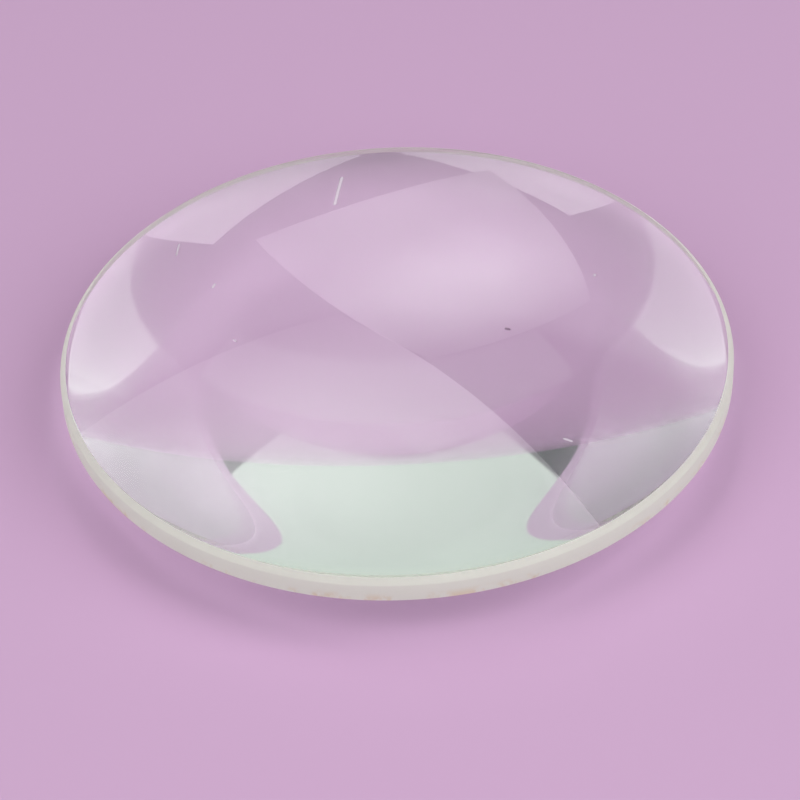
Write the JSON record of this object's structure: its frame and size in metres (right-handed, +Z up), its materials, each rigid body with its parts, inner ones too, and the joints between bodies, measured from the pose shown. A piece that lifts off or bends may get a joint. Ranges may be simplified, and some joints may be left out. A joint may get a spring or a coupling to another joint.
{
  "type": "biconvex lens",
  "caption": "Round equi-convex clear glass lens with two polished spherical faces, a ground cylindrical edge and a narrow bevel at each rim.",
  "frame": {"origin": "vertex of the lower face, where the lens touches the surface that it lies on", "axes": "+Z up along the optical axis, from the lower face to the upper face; X and Y are equal because the lens is round"},
  "size_m": [0.06, 0.06, 0.0113],
  "materials": {
    "optical_glass": "clear glass, faces polished, edge and bevels fine ground"
  },
  "bodies": {
    "root": {"lens": "optical_glass"}
  },
  "joints": []
}
